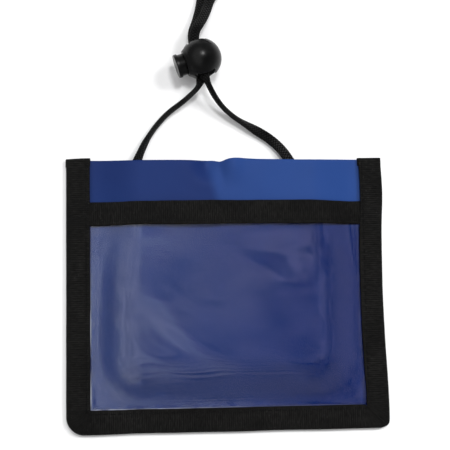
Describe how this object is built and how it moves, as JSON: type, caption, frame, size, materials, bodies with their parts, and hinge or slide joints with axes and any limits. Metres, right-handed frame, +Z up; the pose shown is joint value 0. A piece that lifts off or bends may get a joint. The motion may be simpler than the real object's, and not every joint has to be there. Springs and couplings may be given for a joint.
{
  "type": "neck pouch wallet",
  "caption": "Flat cloth pouch with a clear front pocket, taped edges and an open mouth with a closure behind it, on a neck cord with a sprung ball cord lock.",
  "frame": {"origin": "on the surface that the pouch lies on, under the middle of the pouch without its cord", "axes": "+X across the pouch, +Y from its closed end to its mouth and on to the neck cord, +Z up from its back to its front"},
  "size_m": [0.127, 0.2417, 0.0164],
  "materials": {
    "nylon_cloth": "blue woven nylon with a slight sheen",
    "clear_vinyl": "clear flexible vinyl, glossy, slightly hazy",
    "binding_tape": "black ribbed polyester tape",
    "thread": "black polyester sewing thread",
    "hook_tape": "black hook tape",
    "loop_tape": "black loop tape, soft pile",
    "braided_cord": "black flat braided polyester cord",
    "lock_plastic": "glossy black moulded plastic",
    "spring_steel": "plain drawn steel wire"
  },
  "bodies": {
    "pouch": {"back_panel": "nylon_cloth", "front_panel": "nylon_cloth", "window_sheet": "clear_vinyl", "window_binding": "binding_tape", "edge_binding": "binding_tape", "edge_stitch_front": "thread", "edge_stitch_back": "thread", "window_stitch_front": "thread", "window_stitch_back": "thread", "hook_patch": "hook_tape", "loop_patch": "loop_tape", "bar_tack_left": "thread", "bar_tack_right": "thread", "cord_left": "braided_cord", "cord_right": "braided_cord", "cord_coil": "braided_cord"},
    "lock": {"lock_body": "lock_plastic", "lock_spring": "spring_steel"},
    "plunger": {"lock_plunger": "lock_plastic"}
  },
  "joints": [
    {"name": "lock_slide", "type": "slide", "parent": "pouch", "child": "lock", "axis": [-0.3206, 0.9472, 0], "range_m": [-0.012, 0.012], "deforming": ["cord_left", "cord_right"]},
    {"name": "plunger_press", "type": "slide", "parent": "lock", "child": "plunger", "axis": [0.9472, 0.3206, 0], "range_m": [0, 0.0025], "stiffness_N_per_m": 600, "springref_m": -0.002, "deforming": ["lock_spring"]}
  ]
}
